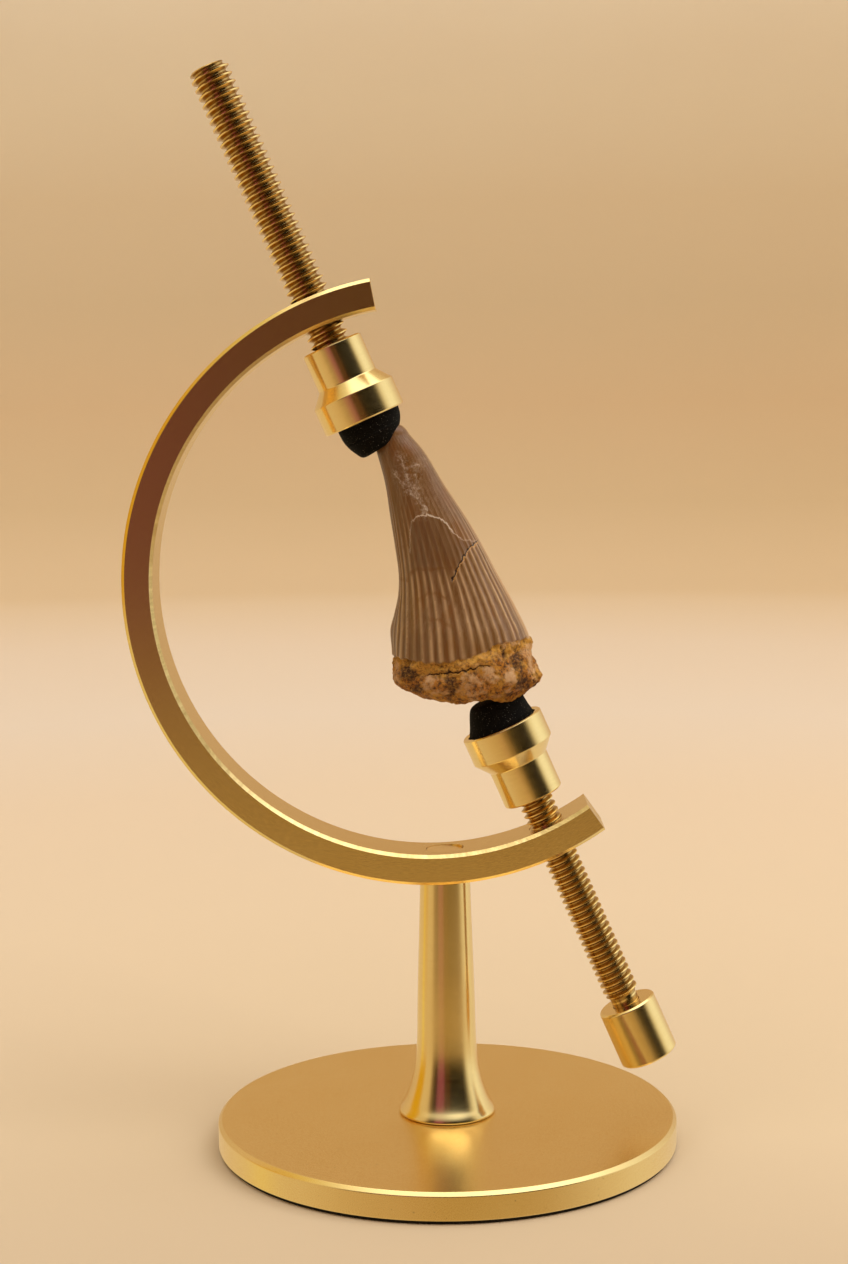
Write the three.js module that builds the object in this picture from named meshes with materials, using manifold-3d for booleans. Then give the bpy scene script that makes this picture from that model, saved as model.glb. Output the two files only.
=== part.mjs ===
// A fossil tooth held between two screw clamps in a brass arc on a round base.
// Millimetres, +Z up. The origin is the centre of the foot pad's underside.

import * as THREE from "three";
import { mergeVertices } from "three/addons/utils/BufferGeometryUtils.js";
import Module from "manifold-3d";

const wasm = await Module();
wasm.setup();

// Base, pad and post
const padThickness = 0.6;
const padRadius = 35.6;
const baseRadius = 36.1;
const baseThickness = 4.2;
const baseChamfer = 0.7;
const postTopRadius = 3.9;
const postFootRadius = 7.7;
const tenonRadius = 2.85;
const tenonClearance = 0.1;

// Arc: a flat bar bent round its own centre, open to the right
const arcCentreX = -2.1;
const arcCentreZ = 89;
const arcOuterRadius = 46.75;
const arcInnerRadius = 42;
const arcWidth = 10.2;
const arcChamfer = 0.65;
const arcStart = THREE.MathUtils.degToRad(100.4);
const arcEnd = THREE.MathUtils.degToRad(305);

// Clamp axis: both rods lie on one line, leaning from the vertical towards -X
const clampLean = THREE.MathUtils.degToRad(23.5);
const clampOffset = 1.2;
const boreClearance = 0.3;

// Threaded rods, measured along the clamp axis from the arc's centre
const upperThread = { radius: 3.175, depth: 0.74, pitch: 1.27 };
const lowerThread = { radius: 2.745, depth: 0.58, pitch: 1.058 };
const upperRodEnd = 84.2;
const lowerThreadEnd = -72;
const lowerNeckRadius = 2.15;
const rodChamfer = 0.6;

// Cups and their rubber plugs: heights from the rim, along the clamp axis
const upperRim = 26.5;
const lowerRim = -24.9;
const cupWideRadius = 6.5;
const cupNeckRadius = 4.75;
const cupWideLength = 4.4;
const cupConeLength = 2.1;
const cupLength = 12.5;
const cupRecessRadius = 5.6;
const cupRecessDepth = 2.6;
const cupBoreFloor = 5;
const plugRadius = 5.3;
const plugDepth = 2.3;
const upperPlugReach = 5.5;
const lowerPlugReach = 4.3;

// Knob on the lower rod
const knobRadius = 4.6;
const knobTop = -73.5;
const knobLength = 9.4;
const knobBoreDepth = 5;
const knobEdge = 0.35;

// Tooth: its own origin is on the underside of the root
const toothX = 3.7;
const toothZ = 70.9;
const toothHeight = 42.8;
const toothDepthRatio = 0.82;
const enamelHeight = 7.6;
const fluteCount = 40;
const fluteDepth = 0.17;
const fitGap = 0.3;

const brass = { color: 0xc89b4a, metalness: 1 };
const satinBrass = new THREE.MeshStandardMaterial({ ...brass, roughness: 0.32 });
const brushedBrass = new THREE.MeshStandardMaterial({ ...brass, roughness: 0.42 });
const threadBrass = new THREE.MeshStandardMaterial({ ...brass, color: 0xb98532, roughness: 0.35 });
const blackRubber = new THREE.MeshStandardMaterial({ color: 0x14120f, roughness: 0.8 });
const fossil = new THREE.MeshStandardMaterial({ color: 0x8a5f3c, roughness: 0.45 });

function named(name, geometry, material) {
  const mesh = new THREE.Mesh(geometry, material);
  mesh.name = name;
  return mesh;
}

// A turned piece: [radius, height] pairs from the lower end to the upper end
function turned(profile, segments = 20) {
  const points = profile.map(([radius, height]) => new THREE.Vector2(radius, height));
  return new THREE.LatheGeometry(points, segments).rotateX(Math.PI / 2);
}

function cylinder(radius, low, high, segments = 16) {
  return turned([[0, low], [radius, low], [radius, high], [0, high]], segments);
}

function toSolid(geometry) {
  const bare = geometry.clone();
  bare.deleteAttribute("normal");
  bare.deleteAttribute("uv");
  const merged = mergeVertices(bare, 1e-4);
  const mesh = new wasm.Mesh({
    numProp: 3,
    vertProperties: new Float32Array(merged.attributes.position.array),
    triVerts: new Uint32Array(merged.index.array),
  });
  return new wasm.Manifold(mesh);
}

function toGeometry(solid) {
  const mesh = solid.getMesh();
  const geometry = new THREE.BufferGeometry();
  geometry.setAttribute("position", new THREE.BufferAttribute(new Float32Array(mesh.vertProperties), 3));
  geometry.setIndex(new THREE.BufferAttribute(new Uint32Array(mesh.triVerts), 1));
  return geometry;
}

function cut(geometry, ...cutters) {
  let solid = toSolid(geometry);
  for (const cutter of cutters) {
    solid = solid.subtract(toSolid(cutter));
  }
  return toGeometry(solid);
}

// Closed body from rings of equal length, with one point at each end
function lofted(rings, lowPoint, highPoint) {
  const columns = rings[0].length;
  const points = [...rings.flat(), lowPoint, highPoint];
  const low = points.length - 2;
  const high = points.length - 1;
  const lastRing = (rings.length - 1) * columns;
  const faces = [];
  for (let column = 0; column < columns; column += 1) {
    const next = (column + 1) % columns;
    faces.push(low, next, column);
    faces.push(high, lastRing + column, lastRing + next);
    for (let ring = 0; ring < rings.length - 1; ring += 1) {
      const a = ring * columns + column;
      const b = ring * columns + next;
      faces.push(a, b, b + columns);
      faces.push(a, b + columns, a + columns);
    }
  }
  const geometry = new THREE.BufferGeometry();
  geometry.setAttribute("position", new THREE.Float32BufferAttribute(points.flat(), 3));
  geometry.setIndex(faces);
  return geometry;
}

// Right-handed screw thread along Z. Each column starts a little higher than
// the one before it, so the last column meets the first one a full pitch up.
function helix({ radius, depth, pitch }, low, high, columns = 10) {
  const step = pitch / 2;
  const rows = Math.ceil((high - low) / step) + 4;
  const points = [];
  for (let column = 0; column < columns; column += 1) {
    const angle = (2 * Math.PI * column) / columns;
    for (let row = 0; row < rows; row += 1) {
      const reach = row % 2 === 0 ? radius : radius - depth;
      const height = low - pitch + row * step + (pitch * column) / columns;
      points.push(reach * Math.cos(angle), reach * Math.sin(angle), height);
    }
  }
  const lowPoint = points.length / 3;
  const highPoint = lowPoint + 1;
  points.push(0, 0, low - pitch, 0, 0, high + pitch);
  const at = (column, row) => (column < columns ? column * rows + row : row + 2);
  const usable = (column) => (column < columns - 1 ? rows : rows - 2);
  const faces = [];
  for (let column = 0; column < columns; column += 1) {
    const top = usable(column) - 1;
    for (let row = 0; row < top; row += 1) {
      const a = at(column, row);
      const b = at(column + 1, row);
      const c = at(column + 1, row + 1);
      const d = at(column, row + 1);
      faces.push(a, b, c, a, c, d);
    }
    faces.push(lowPoint, at(column + 1, 0), at(column, 0));
    faces.push(highPoint, at(column, top), at(column + 1, top));
  }
  faces.push(lowPoint, at(0, 1), at(0, 2));
  faces.push(lowPoint, at(0, 0), at(0, 1));
  const lastTop = (columns - 1) * rows + rows - 1;
  faces.push(highPoint, lastTop, lastTop - 1);
  faces.push(highPoint, lastTop - 1, lastTop - 2);
  const geometry = new THREE.BufferGeometry();
  geometry.setAttribute("position", new THREE.Float32BufferAttribute(points, 3));
  geometry.setIndex(faces);
  return geometry;
}

// Thread trimmed to a turned outline, which gives it flat and chamfered ends
function threadedRod(thread, low, high, outline) {
  return toSolid(helix(thread, low, high)).intersect(toSolid(turned(outline)));
}

function foot() {
  const base = padThickness;
  const top = base + baseThickness;
  const edge = baseRadius - baseChamfer;
  const disc = turned([
    [0, base],
    [baseRadius - 0.2, base],
    [baseRadius, base + 0.2],
    [baseRadius, top - baseChamfer],
    [edge, top],
    [0, top],
  ], 40);
  const group = new THREE.Group();
  group.add(named("foot_pad", cylinder(padRadius, 0, padThickness, 32), blackRubber));
  group.add(named("base_disc", disc, satinBrass));
  return group;
}

function post() {
  const floor = padThickness + baseThickness;
  const shoulder = arcCentreZ - arcOuterRadius - 0.05;
  const flush = arcCentreZ - arcInnerRadius;
  const profile = [
    [0, floor],
    [postFootRadius - 0.3, floor],
    [postFootRadius, floor + 0.35],
    [postFootRadius - 0.3, floor + 0.8],
    [6.6, floor + 2.2],
    [5.6, floor + 4.9],
    [4.95, floor + 7.8],
    [4.65, floor + 11.2],
    [4.5, floor + 19.5],
    [4.2, floor + 28],
    [postTopRadius, shoulder],
    [tenonRadius, shoulder],
    [tenonRadius, flush],
    [0, flush],
  ];
  return named("post", turned(profile), satinBrass);
}

// Matrix that takes the clamp axis's frame to the world: its +Z runs up the rods
function clampMatrix() {
  const x = arcCentreX + clampOffset * Math.cos(clampLean);
  const z = arcCentreZ + clampOffset * Math.sin(clampLean);
  return new THREE.Matrix4().makeRotationY(-clampLean).setPosition(x, 0, z);
}

function arc() {
  const shape = new THREE.Shape();
  const inset = arcChamfer;
  const endInset = inset / arcOuterRadius;
  shape.absarc(0, 0, arcOuterRadius - inset, arcStart + endInset, arcEnd - endInset, false);
  shape.absarc(0, 0, arcInnerRadius + inset, arcEnd - endInset, arcStart + endInset, true);
  const bar = new THREE.ExtrudeGeometry(shape, {
    depth: arcWidth - 2 * inset,
    curveSegments: 28,
    bevelEnabled: true,
    bevelThickness: inset,
    bevelSize: inset,
    bevelSegments: 1,
  });
  bar.translate(0, 0, -arcWidth / 2 + inset);
  bar.rotateX(Math.PI / 2);
  bar.translate(arcCentreX, 0, arcCentreZ);
  const reach = arcOuterRadius + 10;
  const upper = cylinder(upperThread.radius + boreClearance, 0, reach, 24);
  const lower = cylinder(lowerThread.radius + boreClearance, -reach, 0, 24);
  upper.applyMatrix4(clampMatrix());
  lower.applyMatrix4(clampMatrix());
  const tenonBore = cylinder(tenonRadius + tenonClearance, arcCentreZ - reach, arcCentreZ, 24);
  return named("arc", cut(bar, upper, lower, tenonBore), brushedBrass);
}

// Cup with its rim at height 0 and its neck above it
function cup(boreRadius) {
  const coneEnd = cupWideLength + cupConeLength;
  return turned([
    [0, cupRecessDepth],
    [cupRecessRadius, cupRecessDepth],
    [cupRecessRadius, 0.2],
    [cupRecessRadius + 0.2, 0],
    [cupWideRadius - 0.25, 0],
    [cupWideRadius, 0.25],
    [cupWideRadius, cupWideLength],
    [cupNeckRadius, coneEnd],
    [cupNeckRadius, cupLength - 0.25],
    [cupNeckRadius - 0.25, cupLength],
    [boreRadius, cupLength],
    [boreRadius, cupBoreFloor],
    [0, cupBoreFloor],
  ]);
}

// Moves points that stand out of the cup: lean slides them sideways with their
// reach, press tips the end face so that it follows what pushes on it.
function squeezed(geometry, reach, lean, press) {
  const position = geometry.attributes.position;
  for (let i = 0; i < position.count; i += 1) {
    const out = Math.max(0, -position.getZ(i)) / reach;
    const x = position.getX(i);
    position.setX(i, x + lean * out);
    position.setZ(i, position.getZ(i) + press * out * x);
  }
  return geometry;
}

function upperPlug() {
  const tip = -upperPlugReach;
  return squeezed(turned([
    [0, tip],
    [2.3, tip + 0.1],
    [3.3, tip + 0.5],
    [4.1, tip + 1.7],
    [4.8, tip + 3.4],
    [5.15, -0.9],
    [plugRadius, 0],
    [plugRadius, plugDepth],
    [0, plugDepth],
  ]), upperPlugReach, 0.3, 0.15);
}

function lowerPlug() {
  const tip = -lowerPlugReach;
  return squeezed(turned([
    [0, tip],
    [3.5, tip],
    [3.8, tip + 0.3],
    [4.95, -0.9],
    [plugRadius, -0.3],
    [plugRadius, plugDepth],
    [0, plugDepth],
  ]), lowerPlugReach, 0.65, 0);
}

// Left and right edges of the tooth against height, from its own origin
const toothEdges = [
  [0, -9.1, 9.2],
  [1.3, -11.1, 11],
  [2.8, -11.5, 11.5],
  [6.9, -11.35, 10.25],
  [10.6, -11.55, 8.95],
  [13, -10.95, 7.8],
  [16, -10.3, 6.3],
  [19.3, -10.2, 4.5],
  [23.4, -10.7, 2.4],
  [28, -11.4, -0.2],
  [33.4, -12.15, -3.5],
  [37.9, -13.2, -6.7],
  [40.7, -13.9, -9.2],
];
const toothPoint = -12.2;

// Height where each ring of the tooth mesh sits
const toothRings = [0, 0.9, 2.8, 5, 6.9, 8.2, 10.8, 14, 19, 25, 31, 37, 40.7, 42.2];

function edgeAt(side, height) {
  const points = toothEdges.map((row) => new THREE.Vector3(row[side], row[0], 0));
  const curve = new THREE.CatmullRomCurve3(points, false, "centripetal");
  let low = 0;
  let high = 1;
  for (let i = 0; i < 30; i += 1) {
    const middle = (low + high) / 2;
    if (curve.getPoint(middle).y < height) {
      low = middle;
    } else {
      high = middle;
    }
  }
  return curve.getPoint(low).x;
}

// Smooth lumps on the broken root, as a sum of a few waves round and up it
function rootLump(angle, height) {
  const wide = Math.sin(3 * angle + 0.7 * height + 1.1);
  const middling = Math.sin(7 * angle - 1.3 * height + 0.4);
  const fine = Math.sin(13 * angle + 2.1 * height);
  return 0.22 * wide + 0.2 * middling + 0.14 * fine;
}

function toothRing(height, columns, grow) {
  const topEdge = toothEdges[toothEdges.length - 1][0];
  const within = Math.min(height, topEdge);
  let left = edgeAt(1, within);
  let right = edgeAt(2, within);
  if (height > topEdge) {
    const share = (height - topEdge) / (toothHeight - topEdge);
    const shrink = Math.sqrt(1 - share * share);
    const drift = THREE.MathUtils.lerp((left + right) / 2, toothPoint, share);
    const half = ((right - left) / 2) * shrink;
    left = drift - half;
    right = drift + half;
  }
  const middle = (left + right) / 2;
  const half = (right - left) / 2;
  const ring = [];
  for (let column = 0; column < columns; column += 1) {
    const angle = (2 * Math.PI * column) / columns;
    const onEnamel = THREE.MathUtils.smoothstep(height, enamelHeight - 1.2, enamelHeight + 0.6);
    const fade = 1 - THREE.MathUtils.smoothstep(height, 20, toothHeight - 2);
    const side = column % 2 === 0 || grow > 0 ? 1 : -1;
    const flute = side * fluteDepth * (0.35 + 0.65 * fade) * onEnamel;
    const lump = rootLump(angle, height) * (1 - onEnamel);
    const out = half + grow + lump + flute;
    const deep = half * toothDepthRatio + grow + lump + flute;
    const chip = height < 1 ? 0.35 * (1 + Math.sin(5 * angle + 2)) * (1 - height) : 0;
    ring.push([middle + out * Math.cos(angle), deep * Math.sin(angle), height + chip]);
  }
  return ring;
}

// grow widens the tooth all round and leaves out its flutes, for cutting rubber
function tooth(columns = fluteCount * 2, grow = 0) {
  const rings = toothRings.map((height) => toothRing(height, columns, grow));
  rings[0] = rings[0].map(([x, y, z]) => [x, y, z - grow]);
  const rim = rings[0];
  const dished = rim.map(([x, y]) => [0.8 * x, 0.8 * y, 0.35 - grow]);
  const top = [toothPoint, 0, toothHeight + grow];
  const geometry = lofted([dished, ...rings], [0, 0, 0.35 - grow], top);
  return geometry.translate(toothX, 0, toothZ);
}

// The grown tooth, seen from a frame that stands in the clamp's
function toothCutter(frame) {
  const toFrame = clampMatrix().multiply(frame).invert();
  return tooth(20, fitGap).applyMatrix4(toFrame);
}

function knob() {
  const low = knobTop - knobLength;
  const bore = lowerThread.radius + boreClearance;
  return turned([
    [0, low],
    [knobRadius - knobEdge, low],
    [knobRadius, low + knobEdge],
    [knobRadius, knobTop - knobEdge],
    [knobRadius - knobEdge, knobTop],
    [bore, knobTop],
    [bore, knobTop - knobBoreDepth],
    [0, knobTop - knobBoreDepth],
  ]);
}

function upperRod() {
  const low = upperRim + cupBoreFloor + 0.4;
  const wide = upperThread.radius + 0.2;
  const end = upperThread.radius - rodChamfer;
  return toGeometry(threadedRod(upperThread, low, upperRodEnd, [
    [0, low],
    [wide, low],
    [wide, upperRodEnd - rodChamfer - 0.2],
    [end, upperRodEnd],
    [0, upperRodEnd],
  ]));
}

function lowerRod() {
  const high = lowerRim - cupBoreFloor - 0.4;
  const low = knobTop - knobBoreDepth + 0.4;
  const wide = lowerThread.radius + 0.2;
  const neck = cylinder(lowerNeckRadius, low, lowerThreadEnd + 1);
  const thread = threadedRod(lowerThread, lowerThreadEnd, high, [
    [0, lowerThreadEnd],
    [lowerNeckRadius, lowerThreadEnd],
    [wide, lowerThreadEnd + 0.5],
    [wide, high],
    [0, high],
  ]);
  return toGeometry(thread.add(toSolid(neck)));
}

function clamps() {
  const group = new THREE.Group();
  group.applyMatrix4(clampMatrix());

  const upper = new THREE.Matrix4().makeTranslation(0, 0, upperRim);
  const lower = new THREE.Matrix4().makeRotationX(Math.PI).setPosition(0, 0, lowerRim);
  const upperHead = new THREE.Group();
  const lowerHead = new THREE.Group();
  upperHead.applyMatrix4(upper);
  lowerHead.applyMatrix4(lower);

  upperHead.add(named("upper_cup", cup(upperThread.radius + boreClearance), satinBrass));
  upperHead.add(named("upper_tip", cut(upperPlug(), toothCutter(upper)), blackRubber));
  lowerHead.add(named("lower_cup", cup(lowerThread.radius + boreClearance), satinBrass));
  lowerHead.add(named("lower_tip", cut(lowerPlug(), toothCutter(lower)), blackRubber));

  group.add(upperHead, lowerHead);
  group.add(named("upper_rod", upperRod(), threadBrass));
  group.add(named("lower_rod", lowerRod(), threadBrass));
  group.add(named("knob", knob(), satinBrass));
  return group;
}

const stand = new THREE.Group();
stand.add(foot(), post(), arc(), clamps());
stand.add(named("tooth", tooth(), fossil));

export default stand;
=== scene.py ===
import math

import bpy
from mathutils import Matrix, Vector, noise


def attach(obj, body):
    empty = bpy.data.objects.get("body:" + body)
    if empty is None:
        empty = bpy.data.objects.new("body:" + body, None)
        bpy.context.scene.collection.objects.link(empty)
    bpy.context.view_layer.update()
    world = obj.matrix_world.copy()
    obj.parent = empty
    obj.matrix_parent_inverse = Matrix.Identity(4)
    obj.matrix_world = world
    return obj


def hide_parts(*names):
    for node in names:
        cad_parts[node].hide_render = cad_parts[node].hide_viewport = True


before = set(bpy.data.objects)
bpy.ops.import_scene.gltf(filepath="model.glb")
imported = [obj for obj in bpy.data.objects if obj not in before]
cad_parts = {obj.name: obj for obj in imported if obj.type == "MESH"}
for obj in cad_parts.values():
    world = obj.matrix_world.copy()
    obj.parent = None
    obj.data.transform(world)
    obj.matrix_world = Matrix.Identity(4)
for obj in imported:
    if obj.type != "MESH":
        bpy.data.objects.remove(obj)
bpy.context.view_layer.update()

millimetre = 0.001

# Where the clamp axis runs: both rods, cups and rubbers sit on it
clamp = {
    "lean": math.radians(23.5),
    "arcCentre": (-2.1, 89.0),
    "offset": 1.2,
}

clampPlace = Matrix.Translation((
    clamp["arcCentre"][0] + clamp["offset"] * math.cos(clamp["lean"]),
    0.0,
    clamp["arcCentre"][1] + clamp["offset"] * math.sin(clamp["lean"]),
)) @ Matrix.Rotation(-clamp["lean"], 4, "Y")
headDown = Matrix.Rotation(math.pi, 4, "X")


# Mesh helpers. Every outline below is in millimetres and becomes metres here.

def newPiece(name, vertices, faces, place=None):
    mesh = bpy.data.meshes.new(name)
    if place is not None:
        vertices = [place @ Vector(vertex) for vertex in vertices]
    mesh.from_pydata([Vector(vertex) * millimetre for vertex in vertices], [], faces)
    mesh.polygons.foreach_set("use_smooth", [True] * len(mesh.polygons))
    mesh.update()
    piece = bpy.data.objects.new(name, mesh)
    bpy.context.scene.collection.objects.link(piece)
    return piece


def softOutline(corners, steps=6):
    # corners are (across, along, rounding) and each is rounded with a short curve;
    # gives the points and the outward direction at each of them
    points = []
    normals = []

    def outward(start, end):
        run = (end - start).normalized()
        return Vector((run.y, -run.x))

    places = [Vector(corner[:2]) for corner in corners]
    points.append(places[0])
    normals.append(outward(places[0], places[1]))
    for before, here, after, corner in zip(places, places[1:], places[2:], corners[1:]):
        rounding = corner[2]
        start = here + (before - here).normalized() * min(rounding, (before - here).length * 0.5)
        end = here + (after - here).normalized() * min(rounding, (after - here).length * 0.5)
        for step in range(steps + 1):
            share = step / steps
            points.append(start * (1 - share) ** 2 + here * 2 * share * (1 - share) + end * share ** 2)
            slope = (here - start) * (1 - share) + (end - here) * share
            normals.append(outward(Vector((0, 0)), slope))
    points.append(places[-1])
    normals.append(outward(places[-2], places[-1]))
    return points, normals


def turnedPiece(name, corners, place=None, columns=160, steps=6, exactNormals=True):
    # the outline runs from the axis, round the outside, and back to the axis
    points, outlineNormals = softOutline(corners, steps)
    vertices = [(0, 0, points[0].y)]
    normals = [Vector((0, 0, outlineNormals[0].y))]
    rings = points[1:-1]
    for point, normal in zip(rings, outlineNormals[1:-1]):
        for column in range(columns):
            angle = 2 * math.pi * column / columns
            vertices.append((point.x * math.cos(angle), point.x * math.sin(angle), point.y))
            normals.append(Vector((normal.x * math.cos(angle), normal.x * math.sin(angle), normal.y)))
    vertices.append((0, 0, points[-1].y))
    normals.append(Vector((0, 0, outlineNormals[-1].y)))
    last = len(vertices) - 1
    faces = []
    for column in range(columns):
        following = (column + 1) % columns
        faces.append((0, 1 + following, 1 + column))
        for ring in range(len(rings) - 1):
            low = 1 + ring * columns
            high = low + columns
            faces.append((low + column, low + following, high + following, high + column))
        top = 1 + (len(rings) - 1) * columns
        faces.append((top + column, top + following, last))
    piece = newPiece(name, vertices, faces, place)
    addTurningMap(piece, points, columns)
    if exactNormals:
        turn = place.to_3x3() if place is not None else Matrix.Identity(3)
        normals = [(turn @ normal).normalized() for normal in normals]
        piece.data.normals_split_custom_set_from_vertices(normals)
    return piece


def addTurningMap(piece, points, columns):
    # u runs up the outline in millimetres and v round the axis, so that gloss can follow the lathe's marks
    lengths = [0.0]
    for start, end in zip(points, points[1:]):
        lengths.append(lengths[-1] + (end - start).length)
    layer = piece.data.uv_layers.new(name="turning")
    last = len(piece.data.vertices) - 1
    for polygon in piece.data.polygons:
        columnsHere = [(index - 1) % columns for index in polygon.vertices if 0 < index < last]
        wraps = max(columnsHere) - min(columnsHere) > columns / 2
        middle = (sum(columnsHere) / len(columnsHere)) / columns
        for loop in polygon.loop_indices:
            index = piece.data.loops[loop].vertex_index
            if index == 0 or index == last:
                layer.data[loop].uv = (lengths[0] if index == 0 else lengths[-1], middle)
                continue
            column = (index - 1) % columns
            if wraps and column == 0:
                column = columns
            layer.data[loop].uv = (lengths[1 + (index - 1) // columns], column / columns)


def dress(piece, material, body, nodes):
    if material is not None:
        piece.data.materials.clear()
        piece.data.materials.append(material)
    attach(piece, body)
    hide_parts(*nodes)


def smoothstep(low, high, value):
    share = min(max((value - low) / (high - low), 0.0), 1.0)
    return share * share * (3 - 2 * share)


# Shader helpers

def newMaterial(name):
    material = bpy.data.materials.new(name)
    material.use_nodes = True
    return material, material.node_tree.nodes, material.node_tree.links


def objectPattern(nodes, links, scale, lean=0.0):
    # object coordinates in millimetres, turned to the clamp axis where a piece leans
    place = nodes.new("ShaderNodeTexCoord")
    upright = nodes.new("ShaderNodeMapping")
    upright.inputs["Rotation"].default_value = (0, lean, 0)
    links.new(place.outputs["Object"], upright.inputs["Vector"])
    stretch = nodes.new("ShaderNodeMapping")
    stretch.inputs["Scale"].default_value = tuple(value / millimetre for value in scale)
    links.new(upright.outputs["Vector"], stretch.inputs["Vector"])
    return stretch.outputs["Vector"]


def noiseField(nodes, links, vector, detail, roughness):
    field = nodes.new("ShaderNodeTexNoise")
    field.inputs["Scale"].default_value = 1.0
    field.inputs["Detail"].default_value = detail
    field.inputs["Roughness"].default_value = roughness
    links.new(vector, field.inputs["Vector"])
    return field.outputs["Fac"]


def patterned(nodes, links, scale, detail, roughness, lean=0.0):
    # noise on object coordinates, scale counts grains per millimetre along each axis
    return noiseField(nodes, links, objectPattern(nodes, links, scale, lean), detail, roughness)


def span(nodes, links, value, low, high, toLow, toHigh):
    change = nodes.new("ShaderNodeMapRange")
    change.inputs["From Min"].default_value = low
    change.inputs["From Max"].default_value = high
    change.inputs["To Min"].default_value = toLow
    change.inputs["To Max"].default_value = toHigh
    links.new(value, change.inputs["Value"])
    return change.outputs["Result"]


def blend(nodes, links, share, first, second):
    mix = nodes.new("ShaderNodeMix")
    mix.data_type = "RGBA"
    mix.clamp_factor = True
    for socket, value in ((0, share), (6, first), (7, second)):
        if isinstance(value, (tuple, float, int)):
            mix.inputs[socket].default_value = (*value, 1.0) if isinstance(value, tuple) else value
        else:
            links.new(value, mix.inputs[socket])
    return mix.outputs[2]


def toneRamp(nodes, links, value, stops):
    ramp = nodes.new("ShaderNodeValToRGB")
    elements = ramp.color_ramp.elements
    while len(elements) < len(stops):
        elements.new(0.5)
    for element, (position, colour) in zip(elements, stops):
        element.position = position
        element.color = (*colour, 1.0)
    links.new(value, ramp.inputs["Fac"])
    return ramp.outputs["Color"]


def bump(nodes, links, height, distance, strength=1.0, under=None):
    relief = nodes.new("ShaderNodeBump")
    relief.inputs["Strength"].default_value = strength
    relief.inputs["Distance"].default_value = distance * millimetre
    links.new(height, relief.inputs["Height"])
    if under is not None:
        links.new(under, relief.inputs["Normal"])
    return relief.outputs["Normal"]


def attribute(nodes, name):
    field = nodes.new("ShaderNodeAttribute")
    field.attribute_name = name
    return field.outputs["Fac"]


def sums(tree):
    # gives a function that adds one Math node: a(kind, first, second, third)
    def add(kind, *values):
        node = tree.nodes.new("ShaderNodeMath")
        node.operation = kind
        for socket, value in zip(node.inputs, values):
            if isinstance(value, (int, float)):
                socket.default_value = value
            else:
                tree.links.new(value, socket)
        return node.outputs[0]
    return add


# Brass in its five finishes
brass = {
    "colour": (0.84, 0.63, 0.28),
    "warmColour": (0.79, 0.55, 0.20),
    "markColour": (0.62, 0.42, 0.15),
    "threadColour": (0.46, 0.29, 0.10),
    "threadWarm": (0.37, 0.21, 0.06),
    "crestHighlightColour": (0.86, 0.62, 0.26),
    "dustColour": (0.16, 0.10, 0.04),
    "satinRoughness": (0.24, 0.32),
    "turnedRoughness": (0.16, 0.25),
    "postRoughness": (0.17, 0.26),
    "brushedRoughness": (0.16, 0.26),
    "threadRoughness": (0.14, 0.24),
}


def followMap(nodes, links, shader, mapName):
    # gloss stretched along the lathe's or the brush's marks
    direction = nodes.new("ShaderNodeTangent")
    direction.direction_type = "UV_MAP"
    direction.uv_map = mapName
    links.new(direction.outputs["Tangent"], shader.inputs["Tangent"])


def brassMaterial(name, roughness, grain, lean=0.0, anisotropic=0.0, mapName=None, relief=0.004,
                  speckle=0.0, colours=("colour", "warmColour"), crestName=None):
    material, nodes, links = newMaterial(name)
    shader = nodes["Principled BSDF"]
    shader.inputs["Metallic"].default_value = 1.0
    shader.inputs["Anisotropic"].default_value = anisotropic
    if mapName is not None:
        followMap(nodes, links, shader, mapName)
    marks = patterned(nodes, links, grain, 4.0, 0.65, lean)
    patches = patterned(nodes, links, (0.09, 0.09, 0.09), 3.0, 0.6, lean)
    grit = patterned(nodes, links, (7, 7, 7), 2.0, 0.5, lean)
    warm = span(nodes, links, patches, 0.35, 0.7, 0.0, 0.35)
    tone = blend(nodes, links, warm, brass[colours[0]], brass[colours[1]])
    marked = span(nodes, links, marks, 0.35, 0.65, 0.0, 0.12)
    tone = blend(nodes, links, marked, tone, brass["markColour"])
    if speckle > 0:
        dust = patterned(nodes, links, (2.2, 2.2, 2.2), 1.0, 0.4)
        spots = span(nodes, links, dust, 0.77, 0.80, 0.0, speckle)
        tone = blend(nodes, links, spots, tone, brass["dustColour"])
    # painted highlight: a brighter brass colour on the thread crests and the cut ends
    if crestName is not None:
        crestHighlight = span(nodes, links, attribute(nodes, crestName), 0.70, 1.0, 0.0, 1.0)
        tone = blend(nodes, links, crestHighlight, tone, brass["crestHighlightColour"])
    links.new(tone, shader.inputs["Base Color"])
    links.new(span(nodes, links, marks, 0.3, 0.7, *roughness), shader.inputs["Roughness"])
    fine = bump(nodes, links, grit, relief * 0.5, 0.6)
    links.new(bump(nodes, links, marks, relief, 1.0, fine), shader.inputs["Normal"])
    return material


# Foot pad, base and post
foot = {
    "padRadius": 35.6,
    "padThickness": 0.6,
    "baseRadius": 36.1,
    "baseThickness": 4.2,
    "chamfer": 0.55,
}

post = {
    "footRadius": 7.7,
    "topRadius": 3.9,
    "tenonRadius": 2.88,
    "shoulder": 42.2,
    "tenonTop": 46.96,
    "waist": ((6.6, 2.2), (5.6, 4.9), (4.95, 7.8), (4.65, 11.2), (4.5, 19.5), (4.2, 28.0)),
}


rubber = {
    "pad": {"dark": (0.010, 0.008, 0.006), "pale": (0.030, 0.024, 0.018), "specks": 0.1},
    "plug": {"dark": (0.002, 0.0017, 0.0013), "pale": (0.008, 0.007, 0.006), "specks": 0.5},
    "dust": (0.22, 0.20, 0.17),
    "roughness": (0.62, 0.85),
    "specular": 0.06,
}


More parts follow.
